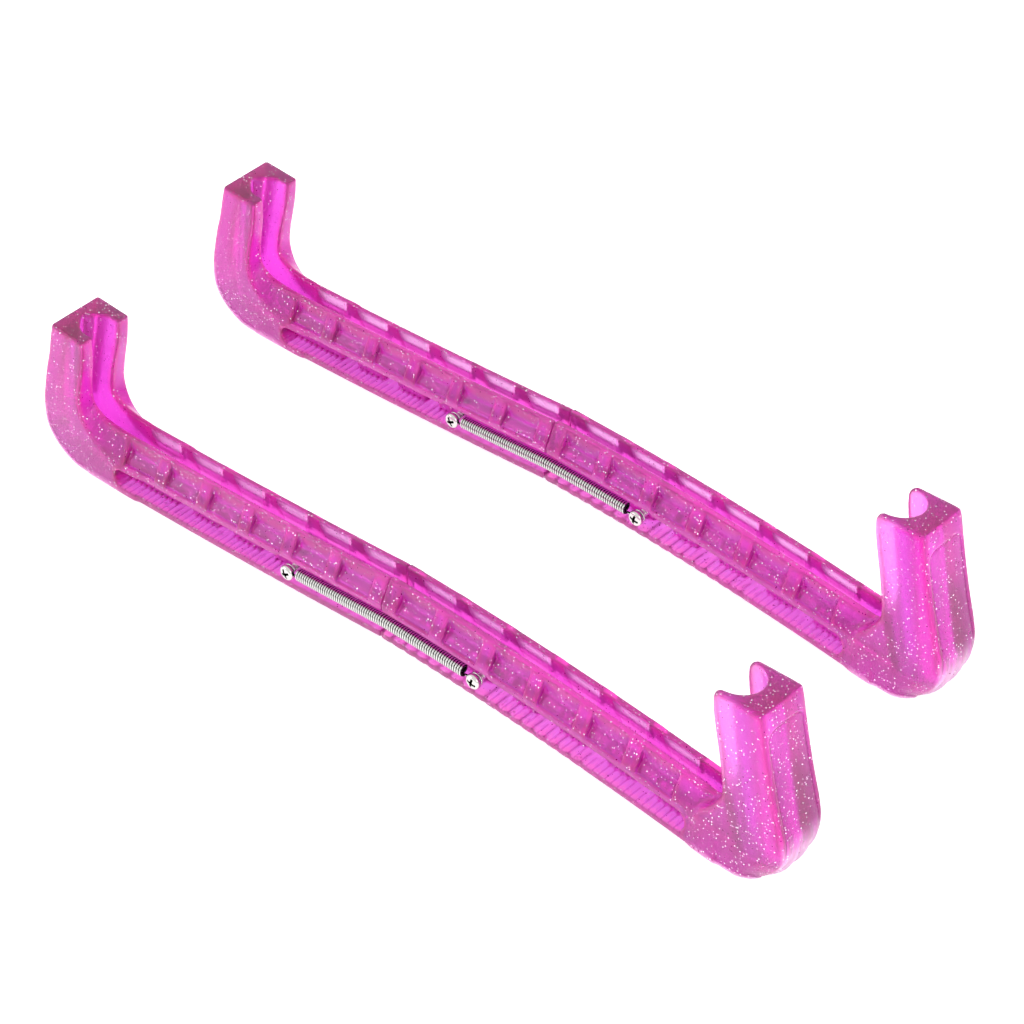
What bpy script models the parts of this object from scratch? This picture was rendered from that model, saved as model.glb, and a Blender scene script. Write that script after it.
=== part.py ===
"""A pair of skate blade guards, each a toe half and a heel half drawn together by two springs.

Metres, +Z up, toes towards -X. The origin lies on the floor at the middle of the pair's box.
Each guard is modelled straight, with its halves meeting at x = 0, then bowed along its length.
"""
import math

import bmesh
import bpy
from mathutils import Matrix, Vector

MM = 0.001

# How the pair lies
PAIR_PITCH = 90.9 * MM          # sideways distance between the two guards
PAIR_STAGGER = 14.3 * MM        # how far the right guard lies ahead of the left one
GUARD_MID_X = 2.85 * MM         # middle of a guard's length, measured from its joint

# The bow: both ends rest on the floor and the joint stands clear of it
RISE = 7.7 * MM                 # height of the sole above the floor at the joint
TOE_BOW_END = 116 * MM          # distance from the joint where the toe half's bow starts to ease
TOE_BOW_EASE = 22 * MM          # length over which it levels out
TOE_CURL = 0.17                 # upward curl of the toe half, per metre
HEEL_BOW_END = 131 * MM
HEEL_BOW_EASE = 10 * MM
HEEL_LEAN = 0.0087              # upward slope of the heel half at the joint
SLICE = 10 * MM                 # spacing of the cross-sections that carry the bow

# Rail section: half-widths and heights above the sole
SOLE_HALF = 10.25 * MM
LIP_EDGE = 2.8 * MM             # top of the upright edge of the sole
RIDGE_HALF = 9.13 * MM
BAND_LOW = 10.8 * MM
BAND_TOP = 13.4 * MM
RAIL_HALF = 4.7 * MM
RAIL_TOP = 21.2 * MM
RAIL_OVERLAP = 138 * MM         # how far the rail runs into each cup
JOINT_GAP = 0.15 * MM           # half the gap between the two halves

# Blade channel
BLADE_HALF = 2.6 * MM
BLADE_FLOOR = 9.0 * MM
TOE_CHANNEL_END = -149 * MM
HEEL_CHANNEL_END = 149 * MM

# Side slots for the springs
SLOT_LOW = 3.2 * MM
SLOT_HIGH = 9.9 * MM
SLOT_FLOOR_HALF = 4.9 * MM      # half-width of the web left between the two slots
SLOT_TOE_END = -125.0 * MM
SLOT_HEEL_END = 126.0 * MM

# Windows that join the two side slots: (how many, first start, length)
TOE_WINDOWS = (3, -99.4 * MM, 6.5 * MM)
HEEL_WINDOWS = (4, 43.1 * MM, 8.5 * MM)
WINDOW_PITCH = 19.6 * MM
WINDOW_LOW = 3.5 * MM
WINDOW_TOP = 7.5 * MM

# Pockets along the rail
POCKETS = 6
POCKET_PITCH = 20 * MM
POCKET_LENGTH = 14.5 * MM
POCKET_LEDGE = 12.5 * MM
POCKET_FLOOR_HALF = 5.0 * MM    # half-width of the web left between opposite pockets
TOE_POCKET_START = -120.6 * MM
HEEL_POCKET_START = 6.1 * MM

# Toe cup, seen from the side: (distance from the joint, height), both in mm
TOE_CUP_WIDTH = 21.2 * MM
TOE_CUP_OUTLINE = [
    (-148.1, 58.2), (-149.8, 52.5), (-151.7, 45.2), (-154.1, 37.8), (-155.9, 31.4), (-157.7, 24.1),
    (-158.5, 17.6), (-158.0, 13.0), (-155.7, 8.9), (-151.9, 4.9), (-148.2, 1.4), (-144.0, 0.0),
    (-143.0, -0.8), (-123.4, -0.8), (-123.4, 10.9), (-131.8, 14.4), (-137.2, 19.9), (-139.2, 30.1),
    (-138.2, 34.6), (-134.7, 48.0), (-133.2, 57.4),
]
# Cavity for the blade's toe, open to the rear: (x of its round front's centre, z, radius)
TOE_CAVITY_TOP = (-137.2 * MM, 60 * MM, 5.9 * MM)
TOE_CAVITY_LOW = (-146.0 * MM, 20 * MM, 3.1 * MM)
TOE_CAVITY_REACH = 14 * MM

# Heel cup, seen from the side and from behind
HEEL_CUP_OUTLINE = [
    (140.0, 68.6), (138.4, 68.3), (136.9, 66.9), (136.3, 64.5), (136.6, 59.0), (137.6, 52.0),
    (139.0, 42.7), (140.0, 29.0), (134.4, 20.0), (129.5, 13.0), (126.5, -0.8), (145.0, -0.8),
    (146.0, 0.0), (149.0, 0.9), (151.5, 2.1), (154.3, 3.6), (156.8, 5.2), (159.6, 7.6),
    (161.9, 10.7), (163.5, 14.0), (164.2, 17.2), (164.0, 21.7), (162.6, 28.1), (160.0, 38.1),
    (157.7, 48.1), (155.7, 57.6), (154.0, 65.6), (153.1, 69.0),
]
HEEL_CUP_HALF_WIDTHS = [        # (half-width, height)
    (10.4, -2.0), (10.4, 4.0), (10.2, 8.0), (9.9, 15.0), (9.7, 25.0), (9.45, 35.0), (9.3, 55.0),
    (9.0, 72.0),
]
# Cavity for the blade's heel, leaning back with the cup: (x, z, half-length, half-width)
HEEL_CAVITY_TOP = (138.0 * MM, 72 * MM, 9.0 * MM, 7.2 * MM)
HEEL_CAVITY_LOW = (148.9 * MM, 7.6 * MM, 5.9 * MM, 6.4 * MM)
HEEL_MOUTH_START = 120 * MM     # the channel stays open upwards through the front of the heel cup
HEEL_MOUTH_END = 145.5 * MM
HEEL_CUP_MIDDLE = 145 * MM
HEEL_CUP_LENGTH = 60 * MM       # long enough to cover the whole cup

# Springs and screws
TOE_SCREW_X = -42.2 * MM
HEEL_SCREW_X = 40.4 * MM
SCREW_Z = 6.3 * MM
HEAD_SEAT = 9.3 * MM            # distance of the head's underside from the guard's middle
HEAD_HEIGHT = 2.1
HEAD_PROFILE = [                # (radius, height above the seat), both in mm
    (0, HEAD_HEIGHT), (1.2, 2.05), (2.1, 1.7), (2.6, 1.1), (2.75, 0.5), (2.75, 0),
]
SHANK_RADIUS = 1.4 * MM
SHANK_LENGTH = 8.0 * MM
TIP_RADIUS = 0.6 * MM
TIP_LENGTH = 0.8 * MM
SHANK_GAP = 0.3 * MM
RECESS_SPAN = 3.0 * MM
RECESS_WIDTH = 0.7 * MM
RECESS_DEPTH = 1.2 * MM
SPRING_HALF = 8.35 * MM         # distance of the spring's axis from the guard's middle
SPRING_RADIUS = 2.15 * MM
SPRING_START = -39.0 * MM
SPRING_END = 35.4 * MM
SPRING_STEP = 9.3 * MM
WIRE_RADIUS = 0.42 * MM
HOOK_RADIUS = 2.3 * MM

CLEAR = 1 * MM                  # how far a cutter runs past the face that it opens
REACH = 200 * MM                # beyond either end of a guard
TILT_STEP = 0.5 * MM            # half the distance over which the bow's slope is measured
WELD = 0.003 * MM               # points closer than this are one point


def clear_scene():
    for old in list(bpy.data.objects):
        bpy.data.objects.remove(old, do_unlink=True)


def new_collection(name):
    group = bpy.data.collections.new(name)
    bpy.context.scene.collection.children.link(group)
    return group


def new_material(name, colour, roughness, metallic):
    paint = bpy.data.materials.new(name)
    paint.use_nodes = True
    shader = paint.node_tree.nodes["Principled BSDF"]
    shader.inputs["Base Color"].default_value = (*colour, 1.0)
    shader.inputs["Roughness"].default_value = roughness
    shader.inputs["Metallic"].default_value = metallic
    return paint


def as_mesh(source):
    """Replace an object by a plain mesh object of its evaluated shape."""
    depsgraph = bpy.context.evaluated_depsgraph_get()
    mesh = bpy.data.meshes.new_from_object(source.evaluated_get(depsgraph))
    mesh.transform(source.matrix_world)
    solid = bpy.data.objects.new(source.name + "_solid", mesh)
    bpy.context.scene.collection.objects.link(solid)
    bpy.data.objects.remove(source, do_unlink=True)
    shape = bmesh.new()
    shape.from_mesh(mesh)
    bmesh.ops.remove_doubles(shape, verts=shape.verts, dist=WELD)
    bmesh.ops.triangulate(shape, faces=shape.faces)
    bmesh.ops.recalc_face_normals(shape, faces=shape.faces)
    shape.to_mesh(mesh)
    shape.free()
    return solid


def combine(body, tool, operation):
    """Cut a tool from a body or join it on, and return the result as a mesh object."""
    step = body.modifiers.new(operation.lower(), "BOOLEAN")
    step.operation = operation
    step.solver = "EXACT"
    step.object = tool
    bpy.context.view_layer.update()
    result = as_mesh(body)
    bpy.data.objects.remove(tool, do_unlink=True)
    return result


def plate(outline, along, centre, thickness):
    """A flat plate: outline is (X, Z) for along="Y" and (Y, Z) for along="X"."""
    sheet = bpy.data.curves.new("plate", "CURVE")
    sheet.dimensions = "2D"
    sheet.fill_mode = "BOTH"
    sheet.extrude = thickness / 2
    edge = sheet.splines.new("POLY")
    edge.points.add(len(outline) - 1)
    for point, (across, height) in zip(edge.points, outline):
        point.co = (across, height, 0, 1)
    edge.use_cyclic_u = True
    solid = bpy.data.objects.new("plate", sheet)
    bpy.context.scene.collection.objects.link(solid)
    if along == "Y":
        solid.matrix_world = Matrix.Translation((0, centre, 0)) @ Matrix.Rotation(math.pi / 2, 4, "X")
    else:
        turn = Matrix(((0, 0, 1, 0), (1, 0, 0, 0), (0, 1, 0, 0), (0, 0, 0, 1)))
        solid.matrix_world = Matrix.Translation((centre, 0, 0)) @ turn
    bpy.context.view_layer.update()
    return as_mesh(solid)


def from_bmesh(name, shape):
    mesh = bpy.data.meshes.new(name)
    bmesh.ops.recalc_face_normals(shape, faces=shape.faces)
    shape.to_mesh(mesh)
    shape.free()
    solid = bpy.data.objects.new(name, mesh)
    bpy.context.scene.collection.objects.link(solid)
    return solid


def block(low, high):
    shape = bmesh.new()
    bmesh.ops.create_cube(shape, size=1)
    for vert in shape.verts:
        vert.co = Vector(lo + (hi - lo) * (c + 0.5) for lo, hi, c in zip(low, high, vert.co))
    return from_bmesh("block", shape)


def tapered_post(low, high):
    """An upright post between two ellipses, each (x, z, half-length, half-width, stretch to +X)."""
    shape = bmesh.new()
    bmesh.ops.create_cone(shape, cap_ends=True, segments=32, radius1=1, radius2=1, depth=2)
    for vert in shape.verts:
        x, z, half_length, half_width, stretch = high if vert.co.z > 0 else low
        back = stretch if vert.co.x > 1e-6 else 0
        vert.co = Vector((x + vert.co.x * half_length + back, vert.co.y * half_width, z))
    return from_bmesh("post", shape)


def rod(start, end, radius, segments):
    """A round rod between two points."""
    shape = bmesh.new()
    line = end - start
    bmesh.ops.create_cone(shape, cap_ends=True, segments=segments, radius1=radius, radius2=radius,
                          depth=line.length)
    turn = line.to_track_quat("Z", "Y").to_matrix().to_4x4()
    bmesh.ops.transform(shape, matrix=Matrix.Translation((start + end) / 2) @ turn, verts=shape.verts)
    return from_bmesh("rod", shape)


def bow(x):
    """Height of the sole above the floor at a distance x from the joint."""
    if x < 0:
        end, ease, curl = TOE_BOW_END, TOE_BOW_EASE, TOE_CURL
        slope = -(RISE + curl * end * (end + ease)) / (end + ease / 2)
    else:
        end, ease, slope = HEEL_BOW_END, HEEL_BOW_EASE, HEEL_LEAN
        curl = -(RISE + slope * (end + ease / 2)) / (end * (end + ease))
    inner = min(abs(x), end)
    beyond = min(max(abs(x) - end, 0), ease)
    end_slope = slope + 2 * curl * end
    return RISE + slope * inner + curl * inner ** 2 + end_slope * (beyond - beyond ** 2 / (2 * ease))


def bow_pose(x, y, z):
    """Place and tilt of a rigid piece that sits on the bowed guard."""
    tilt = math.atan2(bow(x + TILT_STEP) - bow(x - TILT_STEP), 2 * TILT_STEP)
    return Matrix.Translation((x, y, z + bow(x))) @ Matrix.Rotation(-tilt, 4, "Y")


def bend(solid):
    """Slice a straight moulding along its length and lift each point by the bow."""
    shape = bmesh.new()
    shape.from_mesh(solid.data)
    bmesh.ops.dissolve_limit(shape, angle_limit=math.radians(0.05), verts=shape.verts,
                             edges=shape.edges)
    low = min(v.co.x for v in shape.verts)
    high = max(v.co.x for v in shape.verts)
    for i in range(math.ceil(low / SLICE), math.ceil(high / SLICE)):
        whole = shape.verts[:] + shape.edges[:] + shape.faces[:]
        bmesh.ops.bisect_plane(shape, geom=whole, plane_co=(i * SLICE, 0, 0), plane_no=(1, 0, 0),
                               dist=WELD)
    bmesh.ops.triangulate(shape, faces=shape.faces)
    bmesh.ops.dissolve_degenerate(shape, dist=WELD, edges=shape.edges)
    bmesh.ops.triangulate(shape, faces=shape.faces)
    for vert in shape.verts:
        vert.co.z += bow(vert.co.x)
    shape.to_mesh(solid.data)
    shape.free()


def rail_blank(start, end):
    side = [(SOLE_HALF, -CLEAR), (SOLE_HALF, LIP_EDGE), (RIDGE_HALF, BAND_LOW), (RIDGE_HALF, BAND_TOP),
            (RAIL_HALF, RAIL_TOP)]
    outline = side + [(-y, z) for y, z in reversed(side)]
    return plate(outline, "X", (start + end) / 2, end - start)


def slot_cutter(joint_x, round_x, side):
    """A side slot that is open at the joint and round at its other end."""
    middle = (SLOT_LOW + SLOT_HIGH) / 2
    radius = (SLOT_HIGH - SLOT_LOW) / 2
    towards = 1 if round_x > joint_x else -1
    outline = [(joint_x, SLOT_LOW), (joint_x, SLOT_HIGH)]
    for i in range(9):
        angle = math.pi / 2 - math.pi * i / 8
        across = towards * radius * (math.cos(angle) - 1)
        outline.append((round_x + across, middle + radius * math.sin(angle)))
    depth = SOLE_HALF + CLEAR - SLOT_FLOOR_HALF
    return plate(outline, "Y", side * (SLOT_FLOOR_HALF + depth / 2), depth)


def finish_half(solid, name, paint, pocket_start, windows, slot_end, screw_x):
    """Cut what both halves share: the flat sole, pockets, side slots, windows and screw holes."""
    wide = 2 * SOLE_HALF
    below = block((-REACH, -wide, -3 * CLEAR), (REACH, wide, 0))
    solid = combine(solid, below, "DIFFERENCE")
    joint_x = -math.copysign(CLEAR, slot_end)
    for side in (-1, 1):
        inner, outer = sorted((side * POCKET_FLOOR_HALF, side * (SOLE_HALF + CLEAR)))
        for i in range(POCKETS):
            x = pocket_start + i * POCKET_PITCH
            pocket = block((x, inner, POCKET_LEDGE), (x + POCKET_LENGTH, outer, RAIL_TOP + CLEAR))
            solid = combine(solid, pocket, "DIFFERENCE")
        solid = combine(solid, slot_cutter(joint_x, slot_end, side), "DIFFERENCE")
        hole_end = HEAD_SEAT - SHANK_LENGTH - 2 * SHANK_GAP
        hole = rod(Vector((screw_x, side * hole_end, SCREW_Z)),
                   Vector((screw_x, side * (SLOT_FLOOR_HALF + CLEAR), SCREW_Z)),
                   SHANK_RADIUS + SHANK_GAP, 16)
        solid = combine(solid, hole, "DIFFERENCE")
    count, window_start, length = windows
    reach = SLOT_FLOOR_HALF + CLEAR
    for i in range(count):
        x = window_start + i * WINDOW_PITCH
        window = block((x, -reach, WINDOW_LOW), (x + length, reach, WINDOW_TOP))
        solid = combine(solid, window, "DIFFERENCE")
    bend(solid)
    solid.name = name
    solid.data.materials.clear()
    solid.data.materials.append(paint)
    return solid


def scaled(outline):
    return [(a * MM, b * MM) for a, b in outline]


def toe_half(name, paint):
    solid = rail_blank(-RAIL_OVERLAP, -JOINT_GAP)
    solid = combine(solid, plate(scaled(TOE_CUP_OUTLINE), "Y", 0, TOE_CUP_WIDTH), "UNION")
    ends = [(x, z, radius, radius, TOE_CAVITY_REACH) for x, z, radius in (TOE_CAVITY_LOW, TOE_CAVITY_TOP)]
    solid = combine(solid, tapered_post(*ends), "DIFFERENCE")
    channel = block((TOE_CHANNEL_END, -BLADE_HALF, BLADE_FLOOR), (CLEAR, BLADE_HALF, RAIL_TOP + CLEAR))
    solid = combine(solid, channel, "DIFFERENCE")
    return finish_half(solid, name, paint, TOE_POCKET_START, TOE_WINDOWS, SLOT_TOE_END, TOE_SCREW_X)


def heel_half(name, paint):
    cup = plate(scaled(HEEL_CUP_OUTLINE), "Y", 0, 2 * SOLE_HALF + 4 * CLEAR)
    side = scaled(HEEL_CUP_HALF_WIDTHS)
    width = plate(side + [(-y, z) for y, z in reversed(side)], "X", HEEL_CUP_MIDDLE, HEEL_CUP_LENGTH)
    cup = combine(cup, width, "INTERSECT")
    solid = combine(rail_blank(JOINT_GAP, RAIL_OVERLAP), cup, "UNION")
    solid = combine(solid, tapered_post((*HEEL_CAVITY_LOW, 0), (*HEEL_CAVITY_TOP, 0)), "DIFFERENCE")
    rim = RAIL_TOP + CLEAR
    mouth_top = HEEL_CAVITY_TOP[1]
    channel = [(-CLEAR, BLADE_FLOOR), (HEEL_CHANNEL_END, BLADE_FLOOR), (HEEL_CHANNEL_END, rim),
               (HEEL_MOUTH_END, rim), (HEEL_MOUTH_END, mouth_top), (HEEL_MOUTH_START, mouth_top),
               (HEEL_MOUTH_START, rim), (-CLEAR, rim)]
    solid = combine(solid, plate(channel, "Y", 0, 2 * BLADE_HALF), "DIFFERENCE")
    return finish_half(solid, name, paint, HEEL_POCKET_START, HEEL_WINDOWS, SLOT_HEEL_END, HEEL_SCREW_X)


def pan_screw(name, paint):
    """A Phillips pan-head screw with its head's underside at z = 0 and its shank along -Z."""
    points = scaled(HEAD_PROFILE)
    points += [(SHANK_RADIUS, 0), (SHANK_RADIUS, TIP_LENGTH - SHANK_LENGTH), (TIP_RADIUS, -SHANK_LENGTH),
               (0, -SHANK_LENGTH)]
    shape = bmesh.new()
    verts = [shape.verts.new((r, 0, z)) for r, z in points]
    for a, b in zip(verts, verts[1:]):
        shape.edges.new((a, b))
    mesh = bpy.data.meshes.new(name)
    shape.to_mesh(mesh)
    shape.free()
    turned = bpy.data.objects.new(name, mesh)
    bpy.context.scene.collection.objects.link(turned)
    turn = turned.modifiers.new("turn", "SCREW")
    turn.axis = "Z"
    turn.steps = 18
    turn.render_steps = 18
    turn.use_merge_vertices = True
    turn.merge_threshold = 0.00001
    bpy.context.view_layer.update()
    solid = as_mesh(turned)
    top = HEAD_HEIGHT * MM
    for across, along in ((RECESS_SPAN, RECESS_WIDTH), (RECESS_WIDTH, RECESS_SPAN)):
        wing = block((-across / 2, -along / 2, top - RECESS_DEPTH), (across / 2, along / 2, top + CLEAR))
        solid = combine(solid, wing, "DIFFERENCE")
    solid.name = name
    solid.data.materials.clear()
    solid.data.materials.append(paint)
    return solid


def hook(screw_x, coil_end, side):
    """The loop round a screw and the wire that leads to it from the coils."""
    seat = bow_pose(screw_x, side * SPRING_HALF, SCREW_Z)
    bpy.ops.mesh.primitive_torus_add(major_segments=18, minor_segments=6, major_radius=HOOK_RADIUS,
                                     minor_radius=WIRE_RADIUS)
    ring = bpy.context.object
    ring.matrix_world = seat @ Matrix.Rotation(math.pi / 2, 4, "X")
    bpy.context.view_layer.update()
    ring = as_mesh(ring)
    inward = -math.copysign(1, screw_x)
    start = seat @ Vector((inward * HOOK_RADIUS, 0, 0))
    past = coil_end + inward * SPRING_RADIUS
    end = Vector((past, side * SPRING_HALF, SCREW_Z + bow(past)))
    return combine(ring, rod(start, end, WIRE_RADIUS, 6), "UNION")


def spring(name, paint, side):
    """The close-wound coils as one round body, with a loop at each end."""
    path = bpy.data.curves.new(name, "CURVE")
    path.dimensions = "3D"
    path.bevel_depth = SPRING_RADIUS
    path.bevel_resolution = 3
    path.use_fill_caps = True
    line = path.splines.new("POLY")
    count = round((SPRING_END - SPRING_START) / SPRING_STEP) + 1
    line.points.add(count - 1)
    for i, point in enumerate(line.points):
        x = SPRING_START + (SPRING_END - SPRING_START) * i / (count - 1)
        point.co = (x, side * SPRING_HALF, SCREW_Z + bow(x), 1)
    coils = bpy.data.objects.new(name, path)
    bpy.context.scene.collection.objects.link(coils)
    bpy.context.view_layer.update()
    solid = as_mesh(coils)
    solid = combine(solid, hook(TOE_SCREW_X, SPRING_START, side), "UNION")
    solid = combine(solid, hook(HEEL_SCREW_X, SPRING_END, side), "UNION")
    solid.name = name
    solid.data.materials.clear()
    solid.data.materials.append(paint)
    return solid


def new_empty(name, parent, place):
    empty = bpy.data.objects.new(name, None)
    empty.parent = parent
    empty.location = place
    return empty


def place_copy(pattern, name, parent, group, pose):
    piece = bpy.data.objects.new(name, pattern.data)
    piece.parent = parent
    piece.matrix_local = pose
    group.objects.link(piece)
    return piece


def guard(name, place, group, patterns, outer_side):
    """One guard: its own base empty, and a second empty that its heel half slides with."""
    base = new_empty(name + "_guard", None, place)
    slider = new_empty(name + "_heel_slide", base, (0, 0, 0))
    group.objects.link(base)
    group.objects.link(slider)
    still = Matrix.Identity(4)
    place_copy(patterns["toe_half"], name + "_toe_half", base, group, still)
    place_copy(patterns["heel_half"], name + "_heel_half", slider, group, still)
    for label, side in (("outer", outer_side), ("inner", -outer_side)):
        place_copy(patterns["spring"][side], f"{name}_{label}_spring", base, group, still)
        outward = Matrix.Rotation(-side * math.pi / 2, 4, "X")
        for end, x, parent in (("toe", TOE_SCREW_X, base), ("heel", HEEL_SCREW_X, slider)):
            seat = bow_pose(x, side * HEAD_SEAT, SCREW_Z) @ outward
            place_copy(patterns["screw"], f"{name}_{end}_{label}_screw", parent, group, seat)


def main():
    clear_scene()
    group = new_collection("skate_blade_guards")
    plastic = new_material("glitter_plastic", (0.86, 0.10, 0.62), 0.38, 0.0)
    spring_steel = new_material("spring_steel", (0.72, 0.72, 0.70), 0.25, 1.0)
    screw_steel = new_material("screw_steel", (0.78, 0.77, 0.75), 0.22, 1.0)
    patterns = {
        "toe_half": toe_half("toe_pattern", plastic),
        "heel_half": heel_half("heel_pattern", plastic),
        "screw": pan_screw("screw_pattern", screw_steel),
        "spring": {side: spring("spring_pattern", spring_steel, side) for side in (-1, 1)},
    }
    left = Vector((PAIR_STAGGER / 2 - GUARD_MID_X, -PAIR_PITCH / 2, 0))
    right = Vector((-PAIR_STAGGER / 2 - GUARD_MID_X, PAIR_PITCH / 2, 0))
    guard("left", left, group, patterns, -1)
    guard("right", right, group, patterns, 1)
    springs = list(patterns["spring"].values())
    for pattern in [patterns["toe_half"], patterns["heel_half"], patterns["screw"], *springs]:
        bpy.data.objects.remove(pattern, do_unlink=True)
    bpy.context.view_layer.update()


main()
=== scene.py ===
"""The looks of a pair of skate blade guards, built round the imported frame.

The plastic halves, the springs' wire and the screws are modelled here in millimetres, in a guard's own
straight space: x runs from the toe (negative) over the joint (0) to the heel, y across and z up from the
sole. Each shape is then bowed like the frame and put where the frame's nodes say.
"""

import math

import bmesh
import bpy
import numpy as np
import openvdb
from mathutils import Matrix, Vector


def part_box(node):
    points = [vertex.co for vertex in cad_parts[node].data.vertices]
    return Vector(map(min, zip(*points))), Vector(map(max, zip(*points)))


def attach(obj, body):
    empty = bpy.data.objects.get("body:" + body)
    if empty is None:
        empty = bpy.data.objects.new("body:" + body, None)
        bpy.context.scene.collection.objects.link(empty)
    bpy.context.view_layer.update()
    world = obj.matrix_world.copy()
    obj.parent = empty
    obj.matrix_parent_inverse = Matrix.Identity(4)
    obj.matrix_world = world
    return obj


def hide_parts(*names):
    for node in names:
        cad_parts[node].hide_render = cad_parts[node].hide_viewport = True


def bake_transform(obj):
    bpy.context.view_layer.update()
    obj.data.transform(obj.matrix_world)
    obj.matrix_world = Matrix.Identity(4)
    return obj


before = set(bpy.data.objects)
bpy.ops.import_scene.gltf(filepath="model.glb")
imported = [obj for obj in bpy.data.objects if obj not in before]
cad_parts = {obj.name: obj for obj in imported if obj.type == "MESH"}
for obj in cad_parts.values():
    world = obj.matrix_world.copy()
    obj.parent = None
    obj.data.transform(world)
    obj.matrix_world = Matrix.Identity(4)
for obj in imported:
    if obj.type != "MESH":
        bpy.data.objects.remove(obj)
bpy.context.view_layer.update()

MM = 0.001
GUARDS = ("left", "right")
OUTER_SIDE = {"left": -1, "right": 1}

# The bow: height of the sole over the floor
RISE = 7.7
TOE_BOW = {"end": 116.0, "ease": 22.0, "curl": 0.00017}
HEEL_BOW = {"end": 131.0, "ease": 10.0, "slope": 0.0087}

# Section of the rail
SOLE_HALF = 10.25
SOLE_ROUND = 1.0
RAIL_HALF = 4.7                 # at its top
RAIL_TOP = 21.2
RAIL_SECTION = [
    (-5.0, -2.0), (SOLE_HALF, -2.0), (SOLE_HALF, 2.8), (9.13, 10.8), (9.13, 13.4), (RAIL_HALF, RAIL_TOP),
    (-5.0, RAIL_TOP),
]
HEEL_RAIL_GROWTH = 0.15         # the heel's rail is thicker all round by this much
JOINT_GAP = 0.15
BLADE_HALF = 2.6
BLADE_FLOOR = 9.0
BLADE_TOE_END = -149.0
BLADE_HEEL_END = 149.0

# Side slots, windows and pockets
SLOT_LOW = 3.2
SLOT_HIGH = 9.9
SLOT_FLOOR_HALF = 4.9
SLOT_TOE_END = -125.0
SLOT_HEEL_END = 126.0
BAY_TOE = -47.5                 # the springs' bay, where the ledge has no cut marks
BAY_HEEL = 45.9
BAY_TOP = 10.6
BAY_FLOOR_HALF = 4.2
MARK_PITCH = 2.5
MARK_DEPTH = 0.6
MARK_HALF = 0.4
MARK_TOP = 0.6                  # how far above the ledge the cut for a mark begins
MARK_MARGIN = 0.9               # left whole between the marks and the sole's edge
WINDOW_PITCH = 19.6
WINDOW_TOP = 7.5
TOE_WINDOWS = (3, -99.4, 6.5)
HEEL_WINDOWS = (4, 43.1, 8.5)
POCKETS = 6
POCKET_PITCH = 20.0
POCKET_LENGTH = 14.5
POCKET_LEDGE = 12.5
POCKET_FLOOR_HALF = 5.0
POCKET_FOOT = 2.9               # how much less deep a pocket is at its foot
POCKET_FOOT_HEIGHT = 4
THIN_WALL = (13.6, 20.8)        # heights between which the wall behind each pocket is painted lighter, as light shining through a thin wall
TOE_POCKET_START = -120.6
HEEL_POCKET_START = 6.1
TREAD_PITCH = 5.0
TREAD_HALF = 1.1
TREAD_FADE = 15                 # length over which the tread dies out
TOE_TREAD = (0.25, 70)          # depth, and how far from the joint it reaches
HEEL_TREAD = (0.6, 95)

# The rim along the cups' feet
WELT_DEPTH = 0.45
WELT_END = 142.0                # beyond this the rim follows a cup's end, and not only its sole
WELT_STEP = (1.1, 1.9)          # the rim's height, and that of the step above it
WELT_FADE = (14, 26)            # heights between which the cups' sides come out as far as the rim
TOE_SIDES = (-130, -120)        # where a cup's sides leave the rail
HEEL_SIDES = (120, 130)
HEEL_WELT = (124, 134)          # where the heel's rim fades in

# Toe cup, seen from the side; a point given twice is a corner
CUP_HALF = 10.6
CUP_START = 138                 # how far from the joint the rails run into the cups
TOE_FRONT = [
    (-133.2, 57.4), (-133.2, 57.4), (-148.1, 58.2), (-148.1, 58.2), (-149.8, 52.5), (-151.7, 45.2),
    (-154.1, 37.8), (-155.9, 31.4), (-157.7, 24.1), (-158.5, 18.0), (-158.2, 12.6), (-156.2, 8.0),
    (-152.6, 4.1), (-147.8, 1.3), (-142.0, -0.6), (-136.0, -2.0), (-136.0, -2.0),
]
TOE_REAR_OUTSIDE = [
    (-115.0, -2.0), (-115.0, -2.0), (-115.0, 9.0), (-115.0, 9.0), (-123.4, 10.9), (-131.8, 14.4),
    (-137.2, 19.9), (-139.2, 27.0), (-138.2, 34.6), (-134.7, 48.0),
]
TOE_REAR_INSIDE = [
    (-100.0, -2.0), (-100.0, -2.0), (-100.0, 21.2), (-100.0, 21.2), (-121.7, 21.4), (-130.3, 22.2),
    (-135.4, 23.6), (-138.6, 27.0), (-138.0, 34.6), (-134.6, 48.0),
]
TOE_CAVITY = ((-146.0, 20.0, 3.1), (-136.2, 60.0, 5.9))       # (x, z, half-width), low and high
TOE_CAVITY_END = -152
NOSE = 1.35                     # length of the cavity's pointed front, in half-widths
TOE_BOX = ((-158.7, -CUP_HALF, 0), (-JOINT_GAP, CUP_HALF, 58.4))

# Heel cup, seen from the side and from behind
HEEL_OUTLINE = [
    (153.6, 69.0), (140.0, 68.6), (138.4, 68.3), (136.9, 66.9), (136.3, 64.5), (136.6, 59.0), (137.6, 52.0),
    (139.0, 42.7), (140.0, 31.0), (138.6, 26.0), (134.4, 20.0), (129.5, 13.0), (126.5, -12.0), (126.5, -12.0),
    (153.6, -12.0), (153.6, -12.0), (153.9, -1.0), (155.6, 1.5), (158.3, 4.5), (160.8, 8.2), (162.7, 12.2),
    (163.8, 15.6), (164.2, 19.0), (163.7, 23.5), (162.4, 29.0), (160.3, 38.5), (158.5, 48.1), (157.0, 57.6),
    (156.0, 65.0), (155.2, 68.2),
]
HEEL_HALF_WIDTHS = ((0.0, 4.0, 8.0, 15.0, 25.0, 35.0, 55.0, 72.0),
                    (10.4, 10.4, 10.3, 10.1, 9.9, 9.75, 9.65, 9.5))
HEEL_CORNER = (1.9, 7.4)        # rounding of the cup's corners, and how much more of it at the foot
HEEL_CORNER_HEIGHT = 32
HEEL_CORNER_START = (138, 147)
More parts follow.
